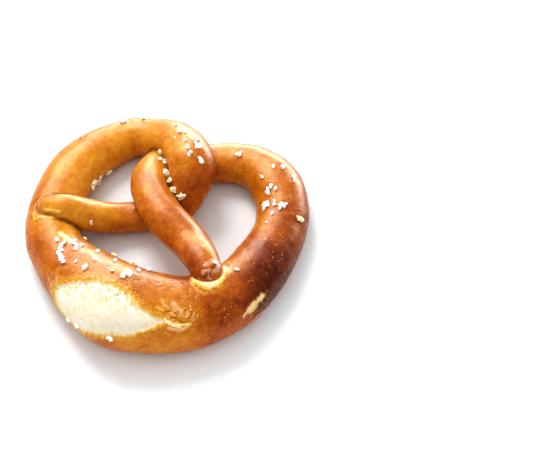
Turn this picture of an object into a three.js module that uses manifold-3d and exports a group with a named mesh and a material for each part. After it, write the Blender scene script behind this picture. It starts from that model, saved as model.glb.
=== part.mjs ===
// A Bavarian pretzel, baked as one body: a rope of dough, thick in the belly and thin in the arms,
// bent into a bow whose arms cross twice and come down on it. The belly has burst along its front,
// and coarse salt lies on the crust. Millimetres, +Z up, the origin on the table below the middle.

import * as THREE from 'three';
import { mergeVertices } from 'three/addons/utils/BufferGeometryUtils.js';
import Module from 'manifold-3d';

const wasm = await Module();
wasm.setup();

// The rope's section is an ellipse, its height so much of its width.
const roundness = 0.85;
// Where the rope lies on the table its axis is this share of the half height above it,
// and what would be lower is the flat baked foot.
const settle = 0.8;
const ringSides = 24;
const ringSpacing = 5.5;
// A rounded end: its rings, the share of a ring's step left open at its pole, and its length over
// the half height of the section that it closes.
const cap = { rings: 3, open: 0.4, length: 0.85 };
const axisDivisions = 1000;

// Stations of the rope's axis from the tip of the left arm to the tip of the right one:
// [x, y, width] where the rope lies on the table, and [x, y, width, height] where it is lifted.
const leftArm = [
  [-62.5, -9.5, 11, 16], [-57.5, -9, 13, 19.5], [-50, -7, 15, 20.5], [-37, -2, 18, 12.5],
  [-23, 5.5, 17, 7.5], [0.5, 18, 18, 10], [4.5, 24.5, 20.5, 15], [3.5, 38.5, 25, 24],
  [-11, 53.5, 23, 19], [-30, 58, 22, 9.5],
];
const bow = [
  [-40, 55, 23], [-58, 27.5, 27], [-57.5, -5.5, 28], [-51, -21, 29], [-39.5, -32, 32],
  [-11.5, -46.5, 43], [2, -49.5, 45], [30.5, -41, 39], [43.5, -29.5, 36], [52, -14.5, 33],
  [58, 20.5, 28], [54.5, 37.5, 28], [45, 52, 28], [32.5, 59, 25], [19, 58.5, 23],
];
const rightArm = [
  [6.5, 54, 22], [-5.5, 50.5, 22, 8], [-14, 43.5, 22, 10], [-17, 32.5, 21, 13.5],
  [-14, 21, 20, 18], [1, 5, 21, 21.5], [19, -5.5, 20, 21.5], [29.5, -15.5, 18, 26.5],
  [36.3, -23, 15, 27.7],
];

// The burst along the belly's front: where it starts and ends along the rope, the angle round the
// section that its middle starts at, how far that rises and over what share of the length, half the
// opening, and how deep the crumb lies in it. A bluntness under 1 makes it widest near its start.
const burst = {
  start: 270, end: 321, startAngle: 29, angleRise: 26, riseShare: 0.65,
  halfAngle: 42, leastHalfAngle: 4, bluntness: 0.75,
  upperDepth: 1.8, lowerDepth: 1.2, crown: 1.4, lengthSteps: 20, angleSteps: 8, overshoot: 4,
};
const burstLip = { radius: 1.5, sink: 0.9, spacing: 4, sides: 5 };

// The bead of dough pressed out of the belly round the tip of the right arm: places on the belly,
// each a distance along the rope and an angle round it.
const bead = {
  places: [[339, 140], [340, 118], [343, 103], [348, 100], [353, 106], [357, 118], [360, 130]],
  width: 8.2, sink: 1.8, steps: 12, sides: 8,
};

// Salt grains: [distance along the rope, angle round it, half spread along it in mm, half spread
// round it in degrees, number of grains]. The angle is 0 on the outside of the bow, 90 on top.
const saltPatches = [
  [113, 111, 0, 0, 1], [115, 88, 2.4, 7, 2], [105, 94, 4, 3, 3], [102, 71, 3.5, 8, 4], [107, 63, 0, 0, 1],
  [517, 145, 2.6, 8, 3], [157, 59, 0, 0, 1], [147, 55, 0, 0, 1], [180, 45, 0, 0, 1],
  [250, 90, 0, 0, 1], [255.5, 89, 1.8, 9, 3], [261, 77, 3.4, 4, 3], [257, 117, 4, 8, 3], [263, 104, 0, 0, 1],
  [262, 121, 0, 0, 1], [270.5, 87, 0, 0, 1], [278.5, 89, 0, 0, 1], [276.5, 111, 0, 0, 1],
  [271.5, 128, 0, 0, 1], [284.5, 130, 0, 0, 1], [290, 106, 0, 0, 1], [298.5, 112, 2.4, 6, 3],
  [304, 130, 0, 0, 1], [309.5, 141, 0, 0, 1], [282.5, -2, 0, 0, 1], [289.5, 8, 0, 0, 1],
  [300.5, 18, 0, 0, 1], [362, 99, 0, 0, 1], [594.5, 124, 0, 0, 1],
  [460, 95, 0, 0, 1], [438.3, 87, 0, 0, 1], [436.4, 68, 0, 0, 1], [436, 122, 0, 0, 1],
  [426, 116, 3.2, 10, 4], [429, 55, 2, 5, 2],
  [415, 130, 3.2, 8, 4], [414.5, 109, 2, 1.5, 2], [413, 90, 3, 7, 3], [408, 111, 0, 0, 1],
  [400, 116, 0, 0, 1], [265.5, 74, 0, 0, 1], [256.4, 109, 0, 0, 1], [254.5, 98, 0, 0, 1],
  [261.5, 107, 0, 0, 1], [411.3, 96, 0, 0, 1], [424.5, 104, 0, 0, 1], [122.7, 76, 0, 0, 1],
  [28, 30, 0, 0, 1], [509, 104, 1.8, 14, 4], [92.5, 182, 1, 10, 3], [88.5, 146, 1.2, 12, 3],
  [85, 115, 1.2, 10, 3], [82.8, 84, 1, 10, 3], [121, 177, 0, 0, 1], [251.5, 154, 0, 0, 1],
  [277, 155, 0, 0, 1], [290, 150, 0, 0, 1], [408, 50, 0, 0, 1],
  [198, 176, 3, 4, 3], [188, 185, 4, 4, 4], [178, 192, 4, 4, 3],
];
const grain = { radius: 1.5, unevenRadius: 0.45, unevenCorner: 0.28, flatness: 0.75, sink: 0.5 };
const goldenAngle = Math.PI * (3 - Math.sqrt(5));
const scatterStep = 12.9898;
const scatterSpread = 43758.5453;

// The block below the table that the flat foot is cut off by.
const underTable = { width: 200, depth: 50 };

const crust = new THREE.MeshStandardMaterial({ color: '#a9591c', roughness: 0.35, metalness: 0 });

// The rope's axis, its width along the stations, and its length.
const stations = [...leftArm, ...bow, ...rightArm];
const axisHeight = ([, , width, height]) => height ?? settle * roundness * width / 2;
const axis = new THREE.CatmullRomCurve3(
  stations.map((station) => new THREE.Vector3(station[0], station[1], axisHeight(station))));
axis.arcLengthDivisions = axisDivisions;
const widths = new THREE.SplineCurve(
  stations.map((station, index) => new THREE.Vector2(index, station[2])));
const ropeLength = axis.getLength();
const lastStation = stations.length - 1;

// The rope's section at a parameter from 0 to 1 along the stations.
function sectionAt(parameter) {
  const centre = axis.getPoint(parameter);
  const tangent = axis.getTangent(parameter);
  const side = new THREE.Vector3().crossVectors(tangent, new THREE.Vector3(0, 0, 1)).normalize();
  const up = new THREE.Vector3().crossVectors(side, tangent);
  const halfWidth = widths.getPoint(parameter).y / 2;
  return { centre, tangent, side, up, halfWidth, halfHeight: halfWidth * roundness };
}

// The same at a distance in mm from the left arm's tip.
function sectionAtDistance(distance) {
  return sectionAt(axis.getUtoTmapping(distance / ropeLength));
}

function distanceOfStation(index) {
  const lengths = axis.getLengths();
  return lengths[Math.round(index / lastStation * (lengths.length - 1))];
}

// The point of a section's outline at an angle in radians, moved outwards by raise mm.
function outlinePoint(section, angle, raise = 0) {
  const { centre, side, up, halfWidth, halfHeight } = section;
  return centre.clone()
    .addScaledVector(side, (halfWidth + raise) * Math.cos(angle))
    .addScaledVector(up, (halfHeight + raise) * Math.sin(angle));
}

// The section's outward direction at an angle.
function outlineNormal(section, angle) {
  const { side, up, halfWidth, halfHeight } = section;
  return new THREE.Vector3()
    .addScaledVector(side, Math.cos(angle) / halfWidth)
    .addScaledVector(up, Math.sin(angle) / halfHeight)
    .normalize();
}

// A repeatable number from 0 to 1 for a whole number.
function scatter(index) {
  const value = Math.sin(index * scatterStep) * scatterSpread;
  return value - Math.floor(value);
}

// A closed body from rings of points, each ring with as many, closed at both ends by a fan.
function bodyFromRings(rings) {
  const count = rings[0].length;
  const average = (ring) => ring.reduce((sum, p) => sum.add(p), new THREE.Vector3()).divideScalar(count);
  const points = [...rings.flat(), average(rings[0]), average(rings.at(-1))];
  const firstFan = rings.length * count;
  const index = [];
  for (let ring = 0; ring < rings.length - 1; ring++) {
    for (let i = 0; i < count; i++) {
      const next = (i + 1) % count;
      const [a, b] = [ring * count + i, ring * count + next];
      index.push(a, a + count, b + count, a, b + count, b);
    }
  }
  for (let i = 0; i < count; i++) {
    const next = (i + 1) % count;
    const lastRing = (rings.length - 1) * count;
    index.push(firstFan, i, next);
    index.push(firstFan + 1, lastRing + next, lastRing + i);
  }
  const geometry = new THREE.BufferGeometry().setFromPoints(points);
  geometry.setIndex(index);
  return geometry;
}

// The rings of a rounded end: sections shrinking to a small one beyond an end section.
function capSections(section, direction) {
  const sections = [];
  for (let ring = 1; ring <= cap.rings; ring++) {
    const turn = ring / (cap.rings + cap.open) * Math.PI / 2;
    const shrink = Math.cos(turn);
    const reach = direction * cap.length * section.halfHeight * Math.sin(turn);
    sections.push({
      ...section,
      centre: section.centre.clone().addScaledVector(section.tangent, reach),
      halfWidth: section.halfWidth * shrink,
      halfHeight: section.halfHeight * shrink,
    });
  }
  return sections;
}

// A body of elliptical sections with rounded ends.
function bodyFromSections(sections, sides) {
  const all = [
    ...capSections(sections[0], -1).reverse(),
    ...sections,
    ...capSections(sections.at(-1), 1),
  ];
  return bodyFromRings(all.map((section) => Array.from({ length: sides },
    (_, i) => outlinePoint(section, i / sides * Math.PI * 2))));
}

// A stretch of the rope between two distances along it.
function ropeStretch(from, to) {
  const steps = Math.round((to - from) / ringSpacing);
  const sections = Array.from({ length: steps + 1 },
    (_, i) => sectionAtDistance(from + (to - from) * i / steps));
  return bodyFromSections(sections, ringSides);
}

// The burst's middle angle and half opening, in radians, at a share of its length.
// It is blunt where it starts and runs out in a point.
function burstOpening(share) {
  const rise = THREE.MathUtils.smoothstep(share, 0, burst.riseShare);
  const middle = burst.startAngle + burst.angleRise * rise;
  const opening = burst.halfAngle * Math.sin(Math.PI * share ** burst.bluntness);
  const half = Math.max(opening, burst.leastHalfAngle);
  return { middle: THREE.MathUtils.degToRad(middle), half: THREE.MathUtils.degToRad(half) };
}

// A place in the burst, across from -1 at its lower edge to 1 at its upper one.
function burstPoint(share, across, raise) {
  const section = sectionAtDistance(burst.start + (burst.end - burst.start) * share);
  const { middle, half } = burstOpening(share);
  return outlinePoint(section, middle + half * across, raise);
}

// What the burst takes out of the crust: a shallow pan whose floor swells in its middle.
function burstPan() {
  const rings = [];
  for (let step = 0; step <= burst.lengthSteps; step++) {
    const share = step / burst.lengthSteps;
    const ring = [];
    for (let i = 0; i <= burst.angleSteps; i++) {
      const across = i / burst.angleSteps * 2 - 1;
      const edgeDepth = THREE.MathUtils.mapLinear(across, -1, 1, burst.lowerDepth, burst.upperDepth);
      const swell = burst.crown * (1 - across ** 2) * Math.sin(Math.PI * share);
      ring.push(burstPoint(share, across, swell - edgeDepth));
    }
    for (let i = burst.angleSteps; i >= 0; i--) {
      const across = i / burst.angleSteps * 2 - 1;
      ring.push(burstPoint(share, across, burst.overshoot));
    }
    rings.push(ring.reverse());
  }
  return bodyFromRings(rings);
}

// The crust's rolled rim round the burst.
function burstRim() {
  const rimPoint = (share, across) => burstPoint(share, across, -burstLip.sink);
  const steps = Math.round((burst.end - burst.start) / burstLip.spacing);
  const shares = Array.from({ length: steps - 1 }, (_, i) => (i + 1) / steps);
  const upper = shares.map((share) => rimPoint(share, 1));
  const lower = shares.map((share) => rimPoint(share, -1)).reverse();
  const loop = new THREE.CatmullRomCurve3([rimPoint(0, 0), ...upper, rimPoint(1, 0), ...lower], true);
  const rimSteps = Math.round(loop.getLength() / burstLip.spacing);
  return new THREE.TubeGeometry(loop, rimSteps, burstLip.radius, burstLip.sides, true);
}

// The bead round the tip of the right arm.
function pressedBead() {
  const places = bead.places.map(([distance, angle]) => outlinePoint(
    sectionAtDistance(distance), THREE.MathUtils.degToRad(angle), -bead.sink));
  const route = new THREE.CatmullRomCurve3(places);
  const sections = Array.from({ length: bead.steps + 1 }, (_, i) => {
    const tangent = route.getTangent(i / bead.steps);
    const side = new THREE.Vector3().crossVectors(tangent, new THREE.Vector3(0, 0, 1)).normalize();
    const up = new THREE.Vector3().crossVectors(side, tangent);
    const halfWidth = bead.width / 2;
    return { centre: route.getPoint(i / bead.steps), tangent, side, up, halfWidth, halfHeight: halfWidth };
  });
  return bodyFromSections(sections, bead.sides);
}

// One grain of salt: a small lump with uneven corners, partly sunk in the crust.
function saltGrain(section, angle, number) {
  const radius = grain.radius + grain.unevenRadius * (scatter(number) * 2 - 1);
  const lump = new THREE.IcosahedronGeometry(radius, 0);
  lump.deleteAttribute('normal');
  lump.deleteAttribute('uv');
  const geometry = mergeVertices(lump);
  const position = geometry.attributes.position;
  for (let corner = 0; corner < position.count; corner++) {
    const stretch = 1 + grain.unevenCorner * (scatter(number * position.count + corner) * 2 - 1);
    position.setXYZ(corner, position.getX(corner) * stretch, position.getY(corner) * stretch,
      position.getZ(corner) * stretch * grain.flatness);
  }
  const normal = outlineNormal(section, angle);
  const turn = new THREE.Quaternion().setFromAxisAngle(
    new THREE.Vector3(0, 0, 1), scatter(number + 0.5) * Math.PI * 2);
  const lean = new THREE.Quaternion().setFromUnitVectors(new THREE.Vector3(0, 0, 1), normal);
  const lift = radius * (grain.flatness - grain.sink);
  const place = outlinePoint(section, angle).addScaledVector(normal, lift);
  geometry.applyMatrix4(new THREE.Matrix4().compose(place, lean.multiply(turn), new THREE.Vector3(1, 1, 1)));
  return geometry;
}

// The grains of all patches, spread in each patch like the seeds of a sunflower.
function saltGrains() {
  const grains = [];
  for (const [distance, angle, alongSpread, aroundSpread, count] of saltPatches) {
    for (let i = 0; i < count; i++) {
      const reach = Math.sqrt((i + 0.5) / count);
      const heading = i * goldenAngle + grains.length;
      const section = sectionAtDistance(distance + alongSpread * reach * Math.cos(heading));
      const around = angle + aroundSpread * reach * Math.sin(heading);
      grains.push(saltGrain(section, THREE.MathUtils.degToRad(around), grains.length));
    }
  }
  return grains;
}

// A closed geometry as a solid, and back.
function solidOf(geometry) {
  const bare = geometry.clone();
  bare.deleteAttribute('normal');
  bare.deleteAttribute('uv');
  const merged = mergeVertices(bare);
  return new wasm.Manifold(new wasm.Mesh({
    numProp: 3,
    vertProperties: new Float32Array(merged.attributes.position.array),
    triVerts: new Uint32Array(merged.index.array),
  }));
}

function geometryOf(solid) {
  const { vertProperties, triVerts } = solid.getMesh();
  const geometry = new THREE.BufferGeometry();
  geometry.setAttribute('position', new THREE.BufferAttribute(new Float32Array(vertProperties), 3));
  geometry.setIndex(new THREE.BufferAttribute(new Uint32Array(triVerts), 1));
  geometry.computeVertexNormals();
  return geometry;
}

// The largest body of a solid: sealed hollows between fused pieces are filled, scraps dropped.
function mainBody(solid) {
  return solid.decompose().reduce((best, piece) => (piece.volume() > best.volume() ? piece : best));
}

function pretzel() {
  const bowStart = distanceOfStation(leftArm.length - 1);
  const bowEnd = distanceOfStation(leftArm.length + bow.length);
  let body = solidOf(ropeStretch(0, bowStart))
    .add(solidOf(ropeStretch(bowStart, bowEnd)))
    .add(solidOf(ropeStretch(bowEnd, ropeLength)))
    .add(solidOf(pressedBead()))
    .subtract(solidOf(burstPan()))
    .add(solidOf(burstRim()));
  for (const lump of saltGrains()) {
    body = body.add(solidOf(lump));
  }
  const below = new THREE.BoxGeometry(underTable.width, underTable.width, underTable.depth);
  below.translate(0, 0, -underTable.depth / 2);
  const mesh = new THREE.Mesh(geometryOf(mainBody(body.subtract(solidOf(below)))), crust);
  mesh.name = 'pretzel';
  return mesh;
}

const model = new THREE.Group();
model.add(pretzel());

export default model;
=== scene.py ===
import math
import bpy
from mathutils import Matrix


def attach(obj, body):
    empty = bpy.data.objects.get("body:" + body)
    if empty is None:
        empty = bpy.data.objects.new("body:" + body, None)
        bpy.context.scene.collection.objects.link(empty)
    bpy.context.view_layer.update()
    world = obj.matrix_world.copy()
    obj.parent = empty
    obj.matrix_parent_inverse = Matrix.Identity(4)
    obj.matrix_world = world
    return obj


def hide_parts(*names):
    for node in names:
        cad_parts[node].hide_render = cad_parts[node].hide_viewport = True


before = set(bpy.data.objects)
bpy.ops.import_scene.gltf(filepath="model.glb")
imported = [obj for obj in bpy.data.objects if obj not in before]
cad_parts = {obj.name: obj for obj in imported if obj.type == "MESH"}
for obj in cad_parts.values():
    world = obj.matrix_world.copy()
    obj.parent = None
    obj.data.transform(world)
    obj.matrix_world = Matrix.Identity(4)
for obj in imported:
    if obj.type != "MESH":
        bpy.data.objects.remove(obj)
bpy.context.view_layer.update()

# A Bavarian pretzel on a pale table. The dough is a rope swept along its axis and fused where it
# touches itself, then given its burst, folds and blisters. The salt is a piece of its own.
# Lengths are in mm until a mesh is made. A place on the rope is its distance from the left arm's
# tip and the angle round its section, 0 on the outside of the bow and 90 on top.
from types import SimpleNamespace
import bpy
import bmesh
import numpy as np
from mathutils import Matrix, Vector, noise

mm = 0.001

# The camera
camera = {
    "aim": (48.6, 28.6, 0),   # the point of the table at the picture's middle
    "azimuth": 20,            # degrees round from the belly's side
    "elevation": 56,
    "distance": 784.7,
    "lens": 100,
    "sensor": 36,
    "farthest": 20,           # in metres
}


def makeCamera():
    turn, rise = math.radians(camera["azimuth"]), math.radians(camera["elevation"])
    back = Vector((math.sin(turn) * math.cos(rise), -math.cos(turn) * math.cos(rise), math.sin(rise)))
    place = (Vector(camera["aim"]) + back * camera["distance"]) * mm
    bpy.ops.object.camera_add(location=place, rotation=(-back).to_track_quat("-Z", "Y").to_euler())
    made = bpy.context.object
    made.name = "photoCamera"
    made.data.lens = camera["lens"]
    made.data.sensor_width = camera["sensor"]
    made.data.clip_end = camera["farthest"]
    bpy.context.scene.camera = made


makeCamera()
print("camera placed")

# The rope of dough, from the left arm's tip round the bow to the right arm's tip
rope = {
    "roundness": 0.85,      # height of the section over its width
    "settle": 0.8,          # where it lies, height of the axis over the half height
    "step": 0.75,           # between the samples of the axis
    "denseSamples": 6000,
    "otherStrand": 45,      # parts of the rope further apart than this along it are two strands
    "capLength": 0.85,      # of a rounded end, over its half height
    # x, y, width where it lies on the table, and x, y, width, height of the axis where it is lifted
    "leftArm": [
        (-62.5, -9.5, 11, 16), (-57.5, -9, 13, 19.5), (-50, -7, 15, 20.5), (-37, -2, 18, 12.5),
        (-23, 5.5, 17, 7.5), (0.5, 18, 18, 10), (4.5, 24.5, 20.5, 15), (3.5, 38.5, 25, 24),
        (-11, 53.5, 23, 19), (-30, 58, 22, 9.5),
    ],
    "bow": [
        (-40, 55, 23), (-58, 27.5, 27), (-57.5, -5.5, 28), (-51, -21, 29), (-39.5, -32, 32),
        (-11.5, -46.5, 43), (2, -49.5, 45), (30.5, -41, 39), (43.5, -29.5, 36), (52, -14.5, 33),
        (58, 20.5, 28), (54.5, 37.5, 28), (45, 52, 28), (32.5, 59, 25), (19, 58.5, 23),
    ],
    "rightArm": [
        (6.5, 54, 22), (-5.5, 50.5, 22, 8), (-14, 43.5, 22, 10), (-17, 32.5, 21, 13.5),
        (-14, 21, 20, 18), (1, 5, 21, 21.5), (19, -5.5, 20, 21.5), (29.5, -15.5, 18, 26.5),
        (36.3, -23, 15, 27.7),
    ],
}


def stationRows():
    rows = []
    for station in rope["leftArm"] + rope["bow"] + rope["rightArm"]:
        x, y, width = station[:3]
        lying = rope["settle"] * rope["roundness"] * width / 2
        rows.append((x, y, station[3] if len(station) > 3 else lying, width))
    return np.array(rows, float)


# x, y and z as a centripetal Catmull-Rom curve through the rows, and the width as a uniform one
def throughStations(rows, count):
    first, last = 2 * rows[0] - rows[1], 2 * rows[-1] - rows[-2]
    padded = np.vstack([first, rows, last])
    out = []
    for t in np.linspace(0, len(rows) - 1, count):
        i = min(int(t), len(rows) - 2)
        w = t - i
        p = padded[i:i + 4]
        a, b, c = np.sqrt(np.linalg.norm(np.diff(p[:, :3], axis=0), axis=1))
        one = ((p[1] - p[0]) / a - (p[2] - p[0]) / (a + b) + (p[2] - p[1]) / b) * b
        two = ((p[2] - p[1]) / b - (p[3] - p[1]) / (b + c) + (p[3] - p[2]) / c) * b
        one[3], two[3] = (p[2][3] - p[0][3]) / 2, (p[3][3] - p[1][3]) / 2
        rise = p[2] - p[1]
        out.append(p[1] + one * w + (3 * rise - 2 * one - two) * w ** 2 + (one + two - 2 * rise) * w ** 3)
    return np.array(out)


def unit(rows):
    return rows / np.linalg.norm(rows, axis=-1, keepdims=True)


def sampleAxis():
    dense = throughStations(stationRows(), rope["denseSamples"])
    run = np.concatenate([[0], np.cumsum(np.linalg.norm(np.diff(dense[:, :3], axis=0), axis=1))])
    along = np.linspace(0, run[-1], int(run[-1] / rope["step"]) + 1)
    rows = np.stack([np.interp(along, run, dense[:, k]) for k in range(4)], axis=1)
    tangent = unit(np.gradient(rows[:, :3], axis=0))
    side = unit(np.cross(tangent, (0, 0, 1)))
    return SimpleNamespace(
        length=run[-1], along=along, centre=rows[:, :3], tangent=tangent, side=side,
        up=np.cross(side, tangent), halfWidth=rows[:, 3] / 2)


axis = sampleAxis()
coarse = slice(None, None, 2)   # every other sample, enough for the sweep and for looking places up


def capReach(end):
    return rope["capLength"] * rope["roundness"] * axis.halfWidth[end]


# The point of the rope's surface at a distance along it and an angle in degrees round it. A distance
# past an end lies on its rounded cap.
def ropePoint(distance, angle, raised=0):
    k = int(round(np.clip(distance, 0, axis.length) / axis.length * (len(axis.along) - 1)))
    past = distance - np.clip(distance, 0, axis.length)
    shrink = math.sqrt(max(1 - (past / capReach(k)) ** 2, 0))
    turn = math.radians(angle)
    halfWidth = axis.halfWidth[k] * shrink
    return (axis.centre[k] + axis.tangent[k] * past + axis.side[k] * (halfWidth + raised) * math.cos(turn)
            + axis.up[k] * (halfWidth * rope["roundness"] + raised) * math.sin(turn))


print("axis sampled, length in mm:", round(axis.length, 1))


def select(piece):
    bpy.ops.object.select_all(action="DESELECT")
    piece.select_set(True)
    bpy.context.view_layer.objects.active = piece


def useModifier(piece, kind, **settings):
    select(piece)
    made = piece.modifiers.new(kind.title(), kind)
    for name, value in settings.items():
        setattr(made, name, value)
    bpy.ops.object.modifier_apply(modifier=made.name)


def asMesh(piece):
    select(piece)
    bpy.ops.object.convert(target="MESH")


def meshPoints(piece):
    flat = np.empty(len(piece.data.vertices) * 3, np.float32)
    piece.data.vertices.foreach_get("co", flat)
    return flat.reshape(-1, 3).astype(float) / mm


def meshNormals(piece):
    flat = np.empty(len(piece.data.vertices) * 3, np.float32)
    piece.data.vertex_normals.foreach_get("vector", flat)
    return flat.reshape(-1, 3).astype(float)


def setMeshPoints(piece, points):
    piece.data.vertices.foreach_set("co", (points * mm).astype(np.float32).ravel())
    piece.data.update()


def smoothStep(low, high, value):
    share = np.clip((value - low) / (high - low), 0, 1)
    return share * share * (3 - 2 * share)


def hump(distance, width):
    return np.exp(-(distance / width) ** 2)


# 1 at a place on the rope, fading over reach mm
def near(points, along, around, reach):
    return hump(np.linalg.norm(points - ropePoint(along, around), axis=1), reach)


farOff = 1e3            # in mm, further than anything here
tiny = 1e-9             # keeps a division from failing
seedShift = 31.7        # in lumps, how far apart two seeds take their noise


# Even noise from -1 to 1 whose lumps are about size mm wide
def lumps(points, size, seed):
    return np.array([noise.noise(place) for place in (points / size + seedShift * seed).tolist()])


# Noise of several sizes: (height, size, seed) of each
def layered(points, layers):
    return sum(height * lumps(points, size, seed) for height, size, seed in layers)


# A repeatable number from 0 to 1 for any other
scatterStep = 12.9898
scatterSpread = 43758.5453


def scatter(index):
    value = math.sin(index * scatterStep) * scatterSpread
    return value - math.floor(value)


# The plain dough
dough = {
    "voxel": 0.95,
    "smoothFactor": 0.5, "smoothing": 2, "smoothingRefined": 1,
    "sectionSteps": 18,     # of each quarter of the section
    "capRings": 8,
    "capOpen": 0.3,         # share of a ring's step left open at the pole
}


# An end of the rope: centres and half widths that shrink to nearly nothing
def roundEnd(end, heading):
    rings = []
    for ring in range(1, dough["capRings"] + 1):
        turn = ring / (dough["capRings"] + dough["capOpen"]) * math.pi / 2
        reach = heading * capReach(end) * math.sin(turn)
        rings.append((axis.centre[end] + axis.tangent[end] * reach, axis.halfWidth[end] * math.cos(turn)))
    return rings


def sweepDough():
    bpy.ops.curve.primitive_bezier_circle_add()
    section = bpy.context.object
    section.name = "doughSection"
    section.data.resolution_u = dough["sectionSteps"]
    for point in section.data.splines[0].bezier_points:
        point.co.y *= rope["roundness"]
        point.handle_left.y *= rope["roundness"]
        point.handle_right.y *= rope["roundness"]
    row = roundEnd(0, -1)[::-1] + list(zip(axis.centre[coarse], axis.halfWidth[coarse])) + roundEnd(-1, 1)
    bpy.ops.curve.primitive_nurbs_path_add()
    made = bpy.context.object
    made.name = "pretzelDough"
    made.data.splines.clear()
    spline = made.data.splines.new("POLY")
    spline.points.add(len(row) - 1)
    for point, (place, halfWidth) in zip(spline.points, row):
        point.co = (*(place * mm), 1)
        point.radius = halfWidth * mm
    made.data.twist_mode = "Z_UP"
    made.data.bevel_mode = "OBJECT"
    made.data.bevel_object = section
    made.data.use_fill_caps = True
    asMesh(made)
    bpy.data.objects.remove(section)
    return made


# The bead of dough pressed out of the belly round the tip of the right arm
bead = {
    "places": [(339, 140), (340, 118), (343, 103), (348, 100), (353, 106), (357, 118), (360, 130)],
    "width": 8.2,
    "sink": 1.8,
    "armFrom": 500,         # places further along the rope belong to the arm, whose skin stays brown
    "taper": 0.7,
    "roundSteps": 6,
    "fade": (1.5, -0.5),    # where its smooth skin ends and is full, off the half width
    "offArm": (0.1, 0.8),   # how far off the arm's plain surface it is pale, from none to all
    # its cream crests, as places on the rope and so many mm above it
    "crests": [
        [(340.5, 116, 2), (342.6, 102, 2), (344.8, 98.5, 2)],
        [(347.4, 98.5, 2), (351.2, 104.5, 2), (354.8, 114, 2)],
    ],
    "creamWidth": 3.8, "creamUneven": [(0.7, 1.8, 64)],
    "edgePale": 0.3,        # how pale the skin beside them is
}


def sweepBead():
    bpy.ops.curve.primitive_bezier_curve_add()
    made = bpy.context.object
    made.name = "pressedBead"
    made.data.splines.clear()
    spline = made.data.splines.new("BEZIER")
    spline.bezier_points.add(len(bead["places"]) - 1)
    for number, (point, place) in enumerate(zip(spline.bezier_points, bead["places"])):
        point.co = ropePoint(*place, raised=-bead["sink"]) * mm
        point.handle_left_type = point.handle_right_type = "AUTO"
        point.radius = bead["taper"] if number in (0, len(bead["places"]) - 1) else 1
    made.data.bevel_depth = bead["width"] / 2 * mm
    made.data.bevel_resolution = bead["roundSteps"]
    made.data.use_fill_caps = True
    asMesh(made)
    return made


pretzel = sweepDough()
ring = sweepBead()
select(pretzel)
ring.select_set(True)
bpy.ops.object.join()
useModifier(pretzel, "REMESH", mode="VOXEL", voxel_size=dough["voxel"] * mm)
useModifier(pretzel, "SMOOTH", factor=dough["smoothFactor"], iterations=dough["smoothing"])
print("dough fused, faces:", len(pretzel.data.polygons))


# Where points lie on the rope: distance along it, angle round it from -90 to 270, how far off its
# plain surface, and how far off that of the nearest other strand
def placesOnRope(points):
    chunk = 3000        # points at a time, to save memory
    centre, tangent, side, up, halfWidth, run = (
        values[coarse]
        for values in (axis.centre, axis.tangent, axis.side, axis.up, axis.halfWidth, axis.along))
    along, around, off, crease = (np.empty(len(points)) for _ in range(4))
    for first in range(0, len(points), chunk):
        part = slice(first, min(first + chunk, len(points)))
        offset = points[part, None] - centre[None]
        ahead = np.einsum("pkc,kc->pk", offset, tangent)
        outwards = np.einsum("pkc,kc->pk", offset, side)
        upwards = np.einsum("pkc,kc->pk", offset, up) / rope["roundness"]
        reach = np.sqrt(ahead ** 2 + outwards ** 2 + upwards ** 2) - halfWidth
        own = reach.argmin(axis=1)
        rows = np.arange(len(own))
        along[part] = run[own] + ahead[rows, own]
        around[part] = np.degrees(np.arctan2(upwards[rows, own], outwards[rows, own]))
        off[part] = reach[rows, own]
        apart = np.abs(run[None] - run[own][:, None]) > rope["otherStrand"]
        crease[part] = np.where(apart, reach, farOff).min(axis=1)
    around = np.where(around < -90, around + 360, around)
    return SimpleNamespace(points=points, along=along, around=around, off=off, crease=crease)


# Distance in mm from points to a line through places on the rope
def offLine(points, places):
    line = np.array([ropePoint(*place) for place in places])
    best = np.full(len(points), farOff)
    for start, end in zip(line[:-1], line[1:]):
        step = end - start
        share = np.clip((points - start) @ step / max(step @ step, tiny), 0, 1)
        best = np.minimum(best, np.linalg.norm(points - start - share[:, None] * step, axis=1))
    return best


# The burst along the belly: the torn outline as places on the rope, and how the crumb lies in it
burst = {
    "outline": [
        (270.5, 39), (273, 48), (279, 66), (284, 78), (290, 87), (297, 90), (303, 87), (308, 75),
        (314, 63), (320.5, 53), (317, 45), (312, 36), (307, 27), (301, 22), (295, 12), (291, 3),
        (285, -4), (279, -6), (274, -1), (271.5, 14), (270.5, 27),
    ],
    "start": 270, "end": 321, "startAngle": 29, "angleRise": 26, "riseShare": 0.65,
    "halfAngle": 42, "leastHalfAngle": 4, "bluntness": 0.75,
    "upperDepth": 1.5, "lowerDepth": 0.9, "crown": 1.4,
    "girth": 0.356,         # mm round the belly for each degree
    "cornerSteps": 4,
    "torn": [(0.8, 3.2, 1), (0.5, 1.1, 2)], "tornReach": (6, 1),
    # mm off the torn line, from none to all: the crumb's depth, the lip, the folds and the plain skin
    "slope": (0.5, -2), "lipFrom": (-0.5, 0.2), "foldsFrom": (-0.6, 0.6), "skinFrom": (0.5, 2.5),
}
# Strands pulled down from the burst's upper edge, width along the rope in mm and length round it in
# degrees, and pores between them. "from" is where in the burst they begin and are full, -1 to 1.
strand = {"height": 0.22, "width": 0.9, "length": 14, "slant": 0.05, "seed": 3, "from": (-0.4, 0.9)}
pore = {"depth": 0.4, "size": 1.3, "seed": 4, "edge": (0.3, 0.6), "from": (0.2, 0.85)}
crumbUneven = [(0.1, 1.6, 5), (0.3, 6.5, 6)]
# The lip of skin round the burst and its unevenness: each a height, how far off the line and how wide
lip = {"even": (0.3, 1.2, 1.3), "uneven": ([(0.15, 1.8, 7)], 0.9, 1.5)}

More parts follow.
